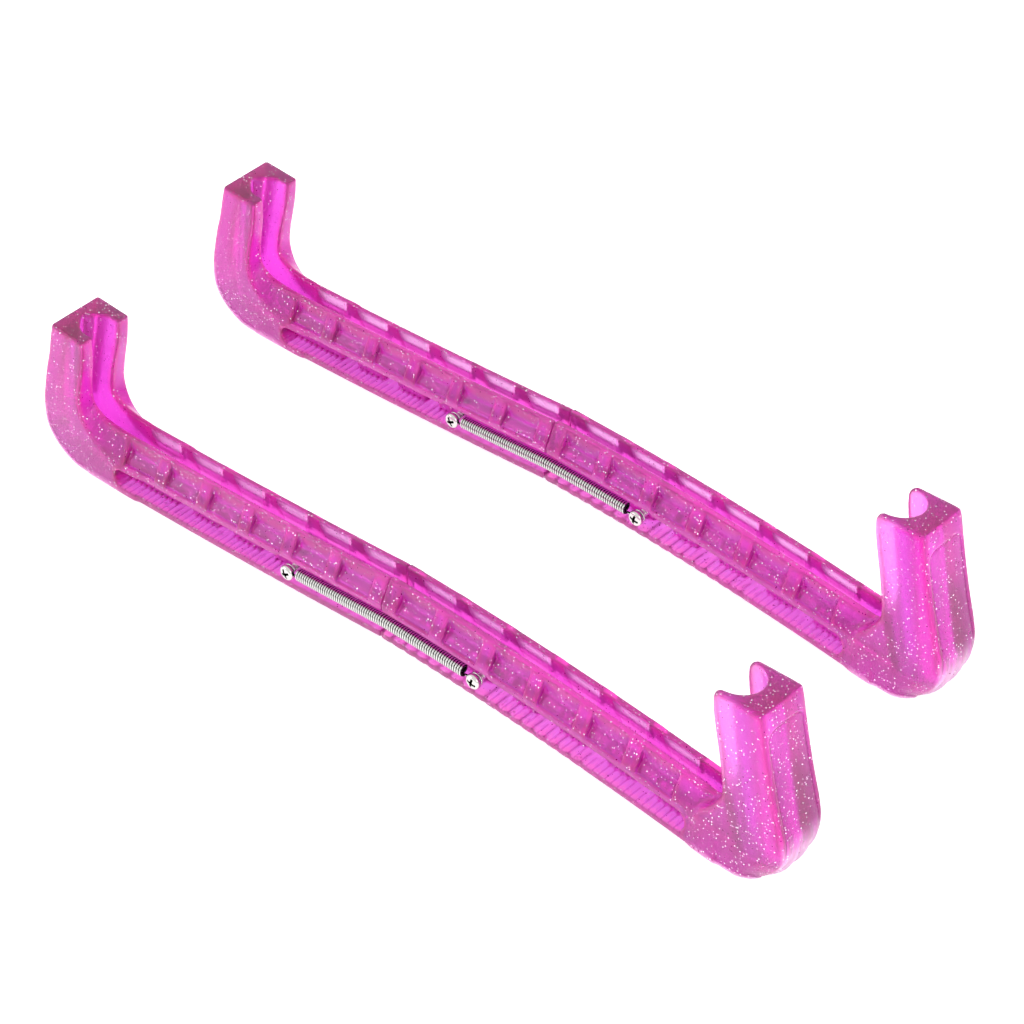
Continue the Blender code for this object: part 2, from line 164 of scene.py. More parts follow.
HEEL_CAVITY = ((148.9, 7.6, 5.9, 6.4), (138.0, 72.0, 9.0, 7.2))    # (x, z, half-length, half-width)
HEEL_MOUTH_END = 145.5
HEEL_BACK = (146, 150)          # where the relief of the heel's back fades in
HEEL_FOOT = (8, 26)             # heights between which the back's grooves give way to its panel
PANEL_HALF = 7.4
PANEL_TOP = 61.5
PANEL_CORNER = 3.0
PANEL_DEPTH = 0.35
PANEL_LINE = (0.6, 0.35)        # depth and half-width of the line round the panel
# half-width of the painted shade along the panel's line
LINE_SHADE_HALF = 0.3
MIDDLE_GROOVE = (1.9, 0.6, 1.9)  # depth, half-width at the bottom, half-width at the top
SIDE_GROOVE = (1.5, 0.3, 1.3)
SIDE_GROOVE_PLACE = 4.6
HEEL_BOX = ((JOINT_GAP, -CUP_HALF, 0), (164.4, CUP_HALF, 69.2))

# Springs and screws
TOE_SCREW_X = -42.2
HEEL_SCREW_X = 40.4
SCREW_Z = 6.3
SCREW_TURN = {"toe": 20, "heel": -12}    # degrees that the cross is turned by
HEAD_SEAT = 9.3
HEAD_RADIUS = 2.75
HEAD_TOP = 2.1
DOME_RADIUS = 5.5
DOME_DROP = 3.4
RECESS_DEPTH = 1.35
THREAD_PITCH = 0.7
THREAD_DEPTH = 0.3
SHANK_RADIUS = 1.38
SHANK_END = -7.95
TIP_START = 7.1
SCREW_BOX = ((-2.9, -2.9, -8.1), (2.9, 2.9, 2.3))
SPRING_HALF = 8.35
COIL_START = -38.6
COIL_END = 35.0
COILS = 75
COIL_STEPS = 20                 # points of the path in one coil
COIL_RADIUS = 1.7
WIRE_RADIUS = 0.44
WIRE_SIDES = 9
WIRE_DOME = 0.6                 # height of the wire's domed ends, in radii
LOOP_RADIUS = 2.05
LOOP_STEPS = 36
LOOP_ANGLES = (-55, -340)       # degrees, from the end at the coils to the tip
LEAD_STEPS = 12
LEAD_PULL = 2.2                 # how long the wire keeps its way where it leaves the coils

# The grids that shapes are meshed on
VOXEL = 0.36
SOFTEN = 0.75                   # spread of the rounding over every edge, in voxels
ADAPTIVITY = 0.02
SCREW_VOXEL = 0.085
SCREW_SOFTEN = 0.6
SCREW_ADAPTIVITY = 0.03
EDGE_BLUR = 1.1                 # width of the blur that finds ridges and nooks
SLOPE = 0.8                     # makes a steep field about a distance again


# ---------------------------------------------------------------- distance fields, negative inside


def curve_through(points, steps=6):
    """A closed outline through the points: smooth, with a corner at each point given twice."""
    corners = [i for i in range(len(points)) if points[i] == points[(i + 1) % len(points)]]
    loop = points[corners[0] + 1:] + points[:corners[0] + 1]
    runs, run = [], [loop[0]]
    for point in loop[1:]:
        if point == run[-1]:
            runs.append(run)
            run = [point]
        else:
            run.append(point)
    runs.append(run + [loop[0]] if run[-1] != loop[0] else run)
    outline = []
    for run in runs:
        ends = [run[0], *run, run[-1]]
        for i in range(len(run) - 1):
            a, b, c, d = (np.array(p) for p in ends[i:i + 4])
            count = steps if len(run) > 2 else 1
            for k in range(count):
                t = k / count
                outline.append(0.5 * (2 * b + (c - a) * t + (2 * a - 5 * b + 4 * c - d) * t ** 2
                                      + (3 * b - a - 3 * c + d) * t ** 3))
    return [tuple(p) for p in outline]


def outline_field(u, v, outline):
    """Signed distance to a closed outline."""
    nearest = np.full(np.broadcast(u, v).shape, 1e9)
    inside = np.zeros(nearest.shape, bool)
    for (au, av), (bu, bv) in zip(outline, outline[1:] + outline[:1]):
        eu, ev = bu - au, bv - av
        length = eu * eu + ev * ev
        if length < 1e-12:
            continue
        t = np.clip(((u - au) * eu + (v - av) * ev) / length, 0, 1)
        nearest = np.minimum(nearest, (u - au - eu * t) ** 2 + (v - av - ev * t) ** 2)
        if ev:
            inside ^= ((av > v) != (bv > v)) & (u < au + eu * (v - av) / ev)
    return np.where(inside, -1, 1) * np.sqrt(nearest)


def both(a, b, radius=0.0):
    """What two shapes share, with rounded edges."""
    if np.all(radius == 0):
        return np.maximum(a, b)
    corner = np.hypot(np.maximum(a + radius, 0), np.maximum(b + radius, 0))
    return np.minimum(-radius, np.maximum(a, b)) + corner


def either(a, b, radius):
    """Two shapes joined by a fillet."""
    corner = np.hypot(np.maximum(radius - a, 0), np.maximum(radius - b, 0))
    return np.maximum(radius, np.minimum(a, b)) - corner


def cut(a, b, radius=0.0):
    """The first shape without the second, with rounded edges."""
    return both(a, -b, radius)


def span(u, low, high):
    """A slab from low to high."""
    return np.maximum(low - u, u - high)


def row_of(u, count, start, pitch, length):
    """Evenly spaced slabs, each of one length."""
    middle = start + length / 2
    which = np.clip(np.round((u - middle) / pitch), 0, count - 1)
    return np.abs(u - middle - which * pitch) - length / 2


def ramp(u, low, high):
    """0 below low, 1 above high, smooth between."""
    t = np.clip((u - low) / (high - low), 0, 1)
    return t * t * (3 - 2 * t)


def side_slot(x, a, z, end):
    """A slot in the rail's side, open towards the joint and round at its end."""
    radius = (SLOT_HIGH - SLOT_LOW) / 2
    middle = (SLOT_HIGH + SLOT_LOW) / 2
    inward = -math.copysign(1, end)
    centre = end + inward * radius
    beyond = np.minimum((x - centre) * inward, 0)
    return both(np.hypot(beyond, z - middle) - radius, SLOT_FLOOR_HALF - a)


def square_slot(x, a, z, end):
    """The same slot with a flat ledge along all but its end."""
    inward = -math.copysign(1, end)
    beyond = span(z, SLOT_LOW, SLOT_HIGH)
    past = end + inward * (SLOT_HIGH - SLOT_LOW) / 2
    straight = both(beyond, (past - x) * inward)
    return np.minimum(side_slot(x, a, z, end), both(straight, SLOT_FLOOR_HALF - a))


def shared_cuts(body, x, a, z, pocket_start, windows, slot_end, bay_end, tread):
    """Pockets, slots, windows, cut marks and tread, which both halves have."""
    foot = POCKET_FOOT * (1 - ramp(z, POCKET_LEDGE, POCKET_LEDGE + POCKET_FOOT_HEIGHT))
    pockets = both(row_of(x, POCKETS, pocket_start, POCKET_PITCH, POCKET_LENGTH), POCKET_LEDGE - z)
    pockets = both(pockets, POCKET_FLOOR_HALF + foot - a)
    body = cut(body, pockets, 0.3)
    body = cut(body, square_slot(x, a, z, slot_end), 0.3)
    bay = both(both(span(x, BAY_TOE, BAY_HEEL), span(z, SLOT_LOW, BAY_TOP)), BAY_FLOOR_HALF - a)
    body = cut(body, bay, 0.2)
    count, start, length = windows
    window = both(row_of(x, count, start, WINDOW_PITCH, length), span(z, SLOT_LOW, WINDOW_TOP))
    body = cut(body, both(window, a - SLOT_FLOOR_HALF - 1))
    marked = span(x, min(bay_end, slot_end), max(bay_end, slot_end))
    to_mark = np.abs(x - MARK_PITCH * np.round(x / MARK_PITCH))
    valley = (to_mark - (z - SLOT_LOW + MARK_DEPTH) * MARK_HALF / MARK_DEPTH) * SLOPE
    mark = both(both(valley, span(z, SLOT_LOW - 1, SLOT_LOW + MARK_TOP)), marked)
    body = cut(body, both(mark, a - SOLE_HALF + MARK_MARGIN))
    to_tread = np.abs(x - TREAD_PITCH * np.round(x / TREAD_PITCH))
    depth, reach = tread
    groove = depth * np.exp(-(to_tread / TREAD_HALF) ** 2) * (1 - ramp(np.abs(x), reach - TREAD_FADE, reach))
    return np.maximum(body, groove - z)


def low_part(z):
    """1 at a cup's foot, 0 higher up."""
    return 1 - ramp(z, *WELT_FADE)


def welt(x, z, outline):
    """1 on the thin rim along a cup's foot and its rounded end, 0 inside it and higher up."""
    end = -outline_field(x, z, curve_through(outline)) + CUP_HALF * (np.abs(x) < WELT_END)
    return (1 - ramp(np.minimum(end, z), *WELT_STEP)) * low_part(z)


def toe_welt(x, z):
    return welt(x, z, TOE_FRONT + TOE_REAR_INSIDE) * (1 - ramp(x, *TOE_SIDES))


def heel_welt(x, z):
    return welt(x, z, HEEL_OUTLINE) * ramp(x, *HEEL_WELT)


def slot_ledge(x, y, z, slot_end, bay_end):
    """1 on the slot's lower face where it has cut marks."""
    along = -span(x, min(bay_end, slot_end), max(bay_end, slot_end))
    out = np.abs(y) - SLOT_FLOOR_HALF
    return ramp(along, 0, 1) * (1 - ramp(np.abs(z - SLOT_LOW), 0.3, 0.6)) * ramp(out, 0.0, 0.6)


def shared_marks(x, y, z, pocket_start):
    """A point's place: along the rail in cut marks and in pockets, across and up in millimetres."""
    return {
        "mark": x / MARK_PITCH,
        "pocket": (x - pocket_start) / POCKET_PITCH,
        "aside": y.copy(),
        "up": z.copy(),
    }


def toe_marks(x, y, z):
    return {
        **shared_marks(x, y, z, TOE_POCKET_START),
        "ledge": slot_ledge(x, y, z, SLOT_TOE_END, BAY_TOE),
        "welt": toe_welt(x, z),
        "line": np.zeros(len(x)),
    }


def heel_marks(x, y, z):
    # where shade is painted along the line round the heel's panel
    line = np.exp(-(heel_panel(y, z) / LINE_SHADE_HALF) ** 2) * (1 - heel_foot(z)) * ramp(x, *HEEL_BACK)
    return {
        **shared_marks(x, y, z, HEEL_POCKET_START),
        "ledge": slot_ledge(x, y, z, SLOT_HEEL_END, BAY_HEEL),
        "welt": heel_welt(x, z),
        "line": line,
    }


def toe_field(x, y, z):
    """The toe half: rail, cup, cavity and blade channel."""
    a = np.abs(y)
    rail = outline_field(a, z, RAIL_SECTION)
    outside = outline_field(x, z, curve_through(TOE_FRONT + TOE_REAR_OUTSIDE))
    inside = outline_field(x, z, curve_through(TOE_FRONT + TOE_REAR_INSIDE))
    side = np.clip((a - RAIL_HALF) / (CUP_HALF - RAIL_HALF), 0, 1)
    step = WELT_DEPTH * (1 - toe_welt(x, z)) * low_part(z) * (1 - ramp(x, *TOE_SIDES))
    cup = both(inside + (outside - inside) * side, a - (CUP_HALF - step), 1.1)
    body = either(both(rail, -CUP_START - x), cup, 1.2)
    body = both(body, x + JOINT_GAP, 0.3)
    body = both(body, -z, SOLE_ROUND)
    (low_x, low_z, low_half), (high_x, high_z, high_half) = TOE_CAVITY
    up = np.clip((z - low_z) / (high_z - low_z), -0.5, 1.2)
    half = low_half + (high_half - low_half) * up
    centre = low_x + (high_x - low_x) * up
    nose = np.clip((centre - x) / (NOSE * half), 0, 1.5)
    cavity = (a - half * (1 - nose ** 2)) * SLOPE
    cavity = both(cavity, BLADE_FLOOR - z)
    cavity = both(cavity, TOE_CAVITY_END - x)
    channel = both(both(a - BLADE_HALF, span(z, BLADE_FLOOR, RAIL_TOP + 1)), BLADE_TOE_END - x)
    body = cut(body, cavity, 0.7)
    body = cut(body, channel, 0.5)
    return shared_cuts(body, x, a, z, TOE_POCKET_START, TOE_WINDOWS, SLOT_TOE_END, BAY_TOE, TOE_TREAD)


def heel_panel(y, z):
    """Signed distance to the outline of the panel on the heel's back."""
    return both(np.abs(y) - PANEL_HALF, z - PANEL_TOP, PANEL_CORNER)


def heel_foot(z):
    """1 where the heel's back is grooved, 0 where it has its panel."""
    return 1 - ramp(z, *HEEL_FOOT)


def heel_back_relief(y, z):
    """How deep the heel's back is cut: a shallow panel, and grooves that run down under the heel."""
    a = np.abs(y)
    panel = heel_panel(y, z)
    line_depth, line_half = PANEL_LINE
    relief = PANEL_DEPTH * (1 - ramp(panel, -0.3, 0.1)) + line_depth * np.exp(-(panel / line_half) ** 2)
    low = heel_foot(z)
    depth, bottom, top = MIDDLE_GROOVE
    relief = relief * (1 - low) + depth * low * (1 - ramp(a, bottom, top))
    depth, bottom, top = SIDE_GROOVE
    return relief + depth * low * (1 - ramp(np.abs(a - SIDE_GROOVE_PLACE), bottom, top))


def heel_field(x, y, z):
    """The heel half: rail, cup with its grooved back, cavity and blade channel."""
    a = np.abs(y)
    rail = outline_field(a, z, RAIL_SECTION) - HEEL_RAIL_GROWTH
    outline = outline_field(x, z, curve_through(HEEL_OUTLINE))
    outline = outline + heel_back_relief(y, z) * ramp(x, *HEEL_BACK)
    step = WELT_DEPTH * (1 - heel_welt(x, z)) * low_part(z) * ramp(x, *HEEL_SIDES)
    corner, foot_corner = HEEL_CORNER
    corner = corner + foot_corner * (1 - ramp(z, 0, HEEL_CORNER_HEIGHT)) * ramp(x, *HEEL_CORNER_START)
    cup = both(outline, a - (np.interp(z, *HEEL_HALF_WIDTHS) - step), corner)
    body = either(both(rail, x - CUP_START), cup, 1.6)
    body = both(body, JOINT_GAP - x, 0.3)
    body = both(body, -z, SOLE_ROUND)
    (low_x, low_z, low_long, low_half), (high_x, high_z, high_long, high_half) = HEEL_CAVITY
    up = (z - low_z) / (high_z - low_z)
    u = (x - low_x - (high_x - low_x) * up) / (low_long + (high_long - low_long) * up)
    v = y / (low_half + (high_half - low_half) * up)
    cavity = (np.hypot(u, v) - 1) * low_long
    cavity = both(cavity, low_z - z, 2.0)
    channel = both(both(a - BLADE_HALF, BLADE_FLOOR - z), x - HEEL_MOUTH_END)
    lower = both(both(a - BLADE_HALF, span(z, BLADE_FLOOR, RAIL_TOP)), x - BLADE_HEEL_END)
    body = cut(body, cavity, 0.6)
    body = cut(body, np.minimum(channel, lower), 0.5)
    return shared_cuts(body, x, a, z, HEEL_POCKET_START, HEEL_WINDOWS, SLOT_HEEL_END, BAY_HEEL, HEEL_TREAD)


# ---------------------------------------------------------------- meshes


def bow(x):
    """Height of the sole above the floor at a distance x from the joint."""
    def half(end, ease, slope, curl):
        inner = np.minimum(np.abs(x), end)
        beyond = np.clip(np.abs(x) - end, 0, ease)
        end_slope = slope + 2 * curl * end
        return RISE + slope * inner + curl * inner ** 2 + end_slope * (beyond - beyond ** 2 / (2 * ease))

    end, ease, curl = TOE_BOW["end"], TOE_BOW["ease"], TOE_BOW["curl"]
    toe = half(end, ease, -(RISE + curl * end * (end + ease)) / (end + ease / 2), curl)
    end, ease, slope = HEEL_BOW["end"], HEEL_BOW["ease"], HEEL_BOW["slope"]
    heel = half(end, ease, slope, -(RISE + slope * (end + ease / 2)) / (end * (end + ease)))
    return np.where(np.asarray(x) < 0, toe, heel)


def soften(values, sigma):
    """Gaussian blur along each axis of a grid, in voxels."""
    reach = math.ceil(3 * sigma)
    weights = np.exp(-0.5 * (np.arange(-reach, reach + 1) / sigma) ** 2)
    weights /= weights.sum()
    for axis in range(3):
        padded = np.pad(values, [(reach, reach) if i == axis else (0, 0) for i in range(3)], "edge")
        size = values.shape[axis]
        values = sum(w * np.take(padded, range(k, k + size), axis) for k, w in enumerate(weights))
    return values


def sample(values, where):
    """Values of a grid at fractional places in it."""
    where = np.clip(where, 0, np.array(values.shape) - 1.001)
    corner = where.astype(int)
    part = where - corner
    total = 0
    for i in range(8):
        step = np.array([i & 1, i >> 1 & 1, i >> 2])
        weight = np.prod(np.where(step, part, 1 - part), axis=1)
        total = total + weight * values[tuple((corner + step).T)]
    return total


def surface(field, low, high, voxel, sigma, adaptivity):
    """The zero surface of a field that is the same on both sides of y = 0: (points, faces, edge).

    edge is how far each point stands out of a wider blur of the shape: over 0 on ridges, under 0 in nooks.
    """
    margin = 3 * voxel
    count = [math.ceil((h - l + 2 * margin) / voxel) for l, h in zip(low, high)]
    across = math.ceil((high[1] + margin) / voxel)
    xs = low[0] - margin + voxel * np.arange(count[0])
    ys = voxel * np.arange(across + 1)
    zs = low[2] - margin + voxel * np.arange(count[2])
    half = field(xs[:, None, None], ys[None, :, None], zs[None, None, :])
    half = np.broadcast_to(half, (len(xs), len(ys), len(zs)))
    whole = np.concatenate([half[:, :0:-1], half], axis=1)
    whole = soften(whole, sigma)
    band = 4 * voxel
    grid = openvdb.FloatGrid(band)
    grid.copyFromArray(np.clip(whole, -band, band).astype(np.float32))
    points, triangles, quads = grid.convertToPolygons(isovalue=0.0, adaptivity=adaptivity)
    edge = sample(soften(np.clip(whole, -band, band), EDGE_BLUR / voxel), points) / EDGE_BLUR
    start = np.array([xs[0], -voxel * across, zs[0]])
    faces = [tuple(f) for f in triangles.tolist()] + [tuple(f) for f in quads.tolist()]
    return points * voxel + start, faces, edge


def new_object(name, points, faces):
    mesh = bpy.data.meshes.new(name)
    mesh.from_pydata([tuple(p) for p in points], [], faces)
    mesh.shade_smooth()
    piece = bpy.data.objects.new(name, mesh)
    bpy.context.scene.collection.objects.link(piece)
    return piece


def mark_points(piece, name, values):
    """Store a number at each point, for the materials to read."""
    layer = piece.data.attributes.new(name, "FLOAT", "POINT")
    layer.data.foreach_set("value", np.asarray(values, np.float32))


def outward(piece):
    """Turn all faces outwards."""
    shape = bmesh.new()
    shape.from_mesh(piece.data)
    bmesh.ops.recalc_face_normals(shape, faces=shape.faces)
    shape.to_mesh(piece.data)
    shape.free()


def guard_place(guard):
    """Where a guard's own origin lies in the row: the joint's x and the rail's middle y, in metres."""
    toe_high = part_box(f"{guard}_toe_half")[1]
    heel_low, heel_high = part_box(f"{guard}_heel_half")
    middle = (heel_low.y + heel_high.y) / 2
    return Vector(((toe_high.x + heel_low.x) / 2, middle, 0))


def make_half(end, field, marks, box, material):
    """Mesh one end's plastic half once, and put a copy in each guard."""
    points, faces, edge = surface(field, *box, VOXEL, SOFTEN, ADAPTIVITY)
    top = box[1][2]
    # edge and top are read by the material for painted light on ridges and painted shade in nooks and on the
    # cups' tops
    marked = {"edge": edge, "top": ramp(points[:, 2], top - 1.8, top - 0.9), **marks(*points.T)}
    points[:, 2] += bow(points[:, 0])
    for guard in GUARDS:
        place = np.array(guard_place(guard))
        piece = new_object(f"{guard}_{end}_plastic", points * MM + place, faces)
        outward(piece)
        for name, values in marked.items():
            mark_points(piece, name, values)
        piece.data.materials.append(material)
        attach(piece, f"{guard}_{end}")
        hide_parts(f"{guard}_{end}_half")


# ---------------------------------------------------------------- springs and screws


def lean(x):
    """Slope of the bow at x."""
    return float(bow(x + 0.5) - bow(x - 0.5))


def on_bow(x, side_y, z):
    """A point beside the rail, lifted square to the bowed sole."""
    return Vector((x - lean(x) * (z - SCREW_Z), side_y, z + float(bow(x))))


def hermite(start, start_way, end, end_way, count):
    """Points between the two ends of a smooth curve."""
    points = []
    for k in range(1, count):
        t = k / count
        points.append(start * (2 * t ** 3 - 3 * t ** 2 + 1) + start_way * (t ** 3 - 2 * t ** 2 + t)
                      + end * (3 * t ** 2 - 2 * t ** 3) + end_way * (t ** 3 - t ** 2))
    return points


def spring_path(side):
    """The wire from one loop's tip, through the coils, to the other's: its middle, and the coils' axis."""
    coils, hubs = [], []
    for i in range(COILS * COIL_STEPS + 1):
        x = COIL_START + (COIL_END - COIL_START) * i / (COILS * COIL_STEPS)
        angle = 2 * math.pi * i / COIL_STEPS - math.pi / 2
        across, up = COIL_RADIUS * math.cos(angle), COIL_RADIUS * math.sin(angle)
        coils.append(on_bow(x, side * SPRING_HALF + across, SCREW_Z + up))
        hubs.append(on_bow(x, side * SPRING_HALF, SCREW_Z))

    def loop(screw_x, out):
        """Out from the coils' last point, under the screw, round it and back over it."""
        first, last = (math.radians(angle) for angle in LOOP_ANGLES)
        ring = []
        for k in range(LOOP_STEPS + 1):
            angle = first + (last - first) * k / LOOP_STEPS
            ring.append(on_bow(screw_x - out * LOOP_RADIUS * math.cos(angle), side * SPRING_HALF,
                               SCREW_Z + LOOP_RADIUS * math.sin(angle)))
        return ring

    def lead(last, before_last, ring):
        """From the coils' last point to a loop's first."""
        leaving = (last - before_last).normalized() * LEAD_PULL
        arriving = (ring[1] - ring[0]).normalized() * LEAD_PULL
        return hermite(last, leaving, ring[0], arriving, LEAD_STEPS)

    toe, heel = loop(TOE_SCREW_X, -1), loop(HEEL_SCREW_X, 1)
    toe_lead = lead(coils[0], coils[1], toe)
    heel_lead = lead(coils[-1], coils[-2], heel)
    path = toe[::-1] + toe_lead[::-1] + coils + heel_lead + heel
    before = [None] * len(toe + toe_lead)
    return path, before + hubs + [None] * (len(path) - len(before + hubs))


def tube(name, path, radius, sides, hubs):
    """A round wire along a path, with domed ends.

    Where it is coiled, its groove mark says how far a point faces away from the coil's outside; the material
    paints shade between the coils from it.
    """
    grooves = []
    ways = [(b - a).normalized() for a, b in zip(path, path[1:])]
    ways.append(ways[-1])
    normal = ways[0].orthogonal().normalized()
    points, faces = [], []
    for i, (centre, way) in enumerate(zip(path, ways)):
        if 0 < i < len(path) - 1:
            way = (ways[i - 1] + ways[i]).normalized()
        normal = (normal - way * normal.dot(way)).normalized()
        across = way.cross(normal)
        for k in range(sides):
            angle = 2 * math.pi * k / sides
            facing = normal * math.cos(angle) + across * math.sin(angle)
            points.append(centre + facing * radius)
            hub = hubs[i]
            grooves.append(0 if hub is None else 0.5 - 0.5 * facing.dot((centre - hub).normalized()))
    for i in range(len(path) - 1):
        for k in range(sides):
            a, b = i * sides + k, i * sides + (k + 1) % sides
            faces.append((a, b, b + sides, a + sides))
    points.append(path[0] - ways[0] * radius * WIRE_DOME)
    points.append(path[-1] + ways[-1] * radius * WIRE_DOME)
    last = (len(path) - 1) * sides
    for k in range(sides):
        faces.append(((k + 1) % sides, k, len(points) - 2))
        faces.append((last + k, last + (k + 1) % sides, len(points) - 1))
    piece = new_object(name, points, faces)
    outward(piece)
    mark_points(piece, "groove", grooves + [0, 0])
    return piece


def make_springs(material):
    """Four springs, each one wire that runs from the loop round one screw through the coils to the loop round
    the other.
    """
    for guard in GUARDS:
        place = guard_place(guard)
        for label, turn in (("outer", 1), ("inner", -1)):
            side = OUTER_SIDE[guard] * turn
            path, hubs = ([p and p * MM + place for p in points] for points in spring_path(side))
            piece = tube(f"{guard}_{label}_spring_wire", path, WIRE_RADIUS * MM, WIRE_SIDES, hubs)
            piece.data.materials.append(material)
            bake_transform(piece)
            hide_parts(f"{guard}_{label}_spring")


def pan_head(r, z):
    """The head before its recess is cut; its underside is at z = 0."""
    dome = both(r - HEAD_RADIUS, np.hypot(r, z + DOME_DROP) - DOME_RADIUS, 0.6)
    return both(dome, -z, 0.12)


def screw_field(x, y, z):
    """A pan head with a cross recess, on a threaded shank."""
    r = np.hypot(x, y)
    head = pan_head(r, z)
    turn = np.arctan2(y, x) / (2 * np.pi)
    along = np.abs((z / THREAD_PITCH - turn) % 1 - 0.5) * 2
    thread = SHANK_RADIUS - THREAD_DEPTH * np.clip(1.25 * along - 0.12, 0, 1)
    tip = SHANK_RADIUS - 0.62 * np.clip((-z - TIP_START) / 0.8, 0, 1)
    shank = both(r - np.minimum(thread, tip), span(z, SHANK_END, 0.4)) * 0.75
    deep = HEAD_TOP - z
    wing = 0.46 - 0.08 * deep
    reach = 1.95 - 0.5 * deep
    cross = np.minimum(both(np.abs(x) - wing, np.abs(y) - reach), both(np.abs(y) - wing, np.abs(x) - reach))
    cross = np.minimum(cross, r - 0.75 + 0.2 * deep)
    cross = both(cross, deep - RECESS_DEPTH)
    return cut(either(head, shank, 0.1), cross, 0.08)


def make_screws(material):
    """Mesh the screw once, and put it head outwards at both ends of each spring."""
    points, faces, _ = surface(screw_field, *SCREW_BOX, SCREW_VOXEL, SCREW_SOFTEN, SCREW_ADAPTIVITY)
    x, y, z = points.T
    # depth into the head, which the material turns into painted shade in the cross recess
    recess = np.where(z > 0.3, -pan_head(np.hypot(x, y), z), 0)
    for guard in GUARDS:
        place = guard_place(guard)
        for label, turn in (("outer", 1), ("inner", -1)):
            side = OUTER_SIDE[guard] * turn
            for end, screw_x in (("toe", TOE_SCREW_X), ("heel", HEEL_SCREW_X)):
                name = f"{guard}_{end}_{label}_screw"
                piece = new_object(name + "_pan_head", points * MM, faces)
                outward(piece)
                mark_points(piece, "recess", recess)
                piece.data.materials.append(material)
                seat = Vector((screw_x, side * HEAD_SEAT, SCREW_Z + float(bow(screw_x)))) * MM + place
                pose = Matrix.Translation(seat) @ Matrix.Rotation(-math.atan(lean(screw_x)), 4, "Y")
                pose = pose @ Matrix.Rotation(-side * math.pi / 2, 4, "X")
                piece.matrix_world = pose @ Matrix.Rotation(math.radians(SCREW_TURN[end]), 4, "Z")
                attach(piece, f"{guard}_{end}")
                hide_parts(name)


# ---------------------------------------------------------------- materials


SPRING_STEEL = (0.64, 0.64, 0.62)
# painted shade between the spring's coils
SPRING_PAINTED_SHADE = (0.015, 0.014, 0.014)
SCREW_STEEL = (0.66, 0.65, 0.62)
# painted shade in the screws' cross recess
SCREW_PAINTED_SHADE = (0.03, 0.03, 0.028)
ROUGHNESS_SPREAD = 0.14
STEEL_GRAIN = 1500

TINT = (0.86, 0.36, 0.89, 1)
# painted light: ridges lighter and redder, as light catches the plastic's edges
PAINTED_EDGE_LIGHT = (1.0, 0.38, 0.72, 1)
# painted shade: the cups' tops darker and deeper pink, as light falls on them
PAINTED_TOP_SHADE = (1.0, 0.30, 0.84, 1)
# painted light and painted reflection: the rim along the cups' feet lighter, and partly metallic so it
# reflects the white sky
PAINTED_WELT_LIGHT = (1.0, 0.72, 0.98, 1)
PAINTED_WELT_SHEEN = 0.4
# painted light: the wall behind each pocket glows, as light shines through it
PAINTED_WALL_GLOW = (1.0, 0.80, 1.0, 1)
# painted shade in the cut marks on the slot's ledge and in the line round the heel's panel
PAINTED_GROOVE_SHADE = (0.42, 0.02, 0.30, 1)
# painted shade: nooks darker
PAINTED_NOOK_SHADE = (0.66, 0.07, 0.50, 1)
STRIPE_HALF = 0.12              # half-width of a stripe of painted shade in each cut mark on the ledge, in marks
STRIPE_SHARE = 0.55
FLAKE_SHADES = ((0.0, (0.30, 0.02, 0.20, 1)), (0.16, (1.0, 0.62, 0.95, 1)), (0.42, (1.0, 0.93, 1.0, 1)))
FLAKE_CELL = 0.00102            # one cell of the pattern holds one flake at most
FLAKE_SHARE = 0.85              # share of the cells that hold one
FLAKE_SIZE = (0.10, 0.15)       # radius of the smallest, and how much more the largest has, in cells
FLAKE_TILT = 0.7
FROST = 0.24                    # roughness of the clearest places
WAVES = 90
GRAIN = 900
BUMP_HEIGHT = 0.00006
PLASTIC_IOR = 1.45
TRANSMISSION = 0.95
ABSORPTION = (0.947, 0.0, 0.854, 1)
ABSORPTION_DENSITY = 185


def new_material(name):
    material = bpy.data.materials.new(name)
    material.use_nodes = True
    return material, material.node_tree, material.node_tree.nodes["Principled BSDF"]


def feed(tree, socket, value):
    """Link a socket, or set it to a plain value."""
    if isinstance(value, bpy.types.NodeSocket):
        tree.links.new(value, socket)
    else:
        socket.default_value = value


def calc(tree, operation, *values):
    node = tree.nodes.new("ShaderNodeMath")
    node.operation = operation
    for socket, value in zip(node.inputs, values):
        feed(tree, socket, value)
    return node.outputs["Value"]


def vector_calc(tree, operation, *values):
    node = tree.nodes.new("ShaderNodeVectorMath")
    node.operation = operation
    for socket, value in zip(node.inputs, values):
        feed(tree, socket, value)
    return node.outputs["Vector"]


def blend_colour(tree, factor, a, b):
    node = tree.nodes.new("ShaderNodeMix")
    node.data_type = "RGBA"
    feed(tree, node.inputs["Factor"], factor)
    colours = [socket for socket in node.inputs if socket.type == "RGBA"]
    feed(tree, colours[0], a)
    feed(tree, colours[1], b)
    return [socket for socket in node.outputs if socket.type == "RGBA"][0]


def attribute(tree, name):
    node = tree.nodes.new("ShaderNodeAttribute")
    node.attribute_name = name
    return node.outputs["Fac"]


def map_range(tree, value, low, high, to_low=0.0, to_high=1.0):
    node = tree.nodes.new("ShaderNodeMapRange")
    node.interpolation_type = "SMOOTHSTEP"
    for name, number in zip(("From Min", "From Max", "To Min", "To Max"), (low, high, to_low, to_high)):
        node.inputs[name].default_value = number
    tree.links.new(value, node.inputs["Value"])
    return node.outputs["Result"]


def noise(tree, place, scale, detail=2):
    node = tree.nodes.new("ShaderNodeTexNoise")
    node.inputs["Scale"].default_value = scale
    node.inputs["Detail"].default_value = detail
    tree.links.new(place, node.inputs["Vector"])
    return node.outputs["Fac"]


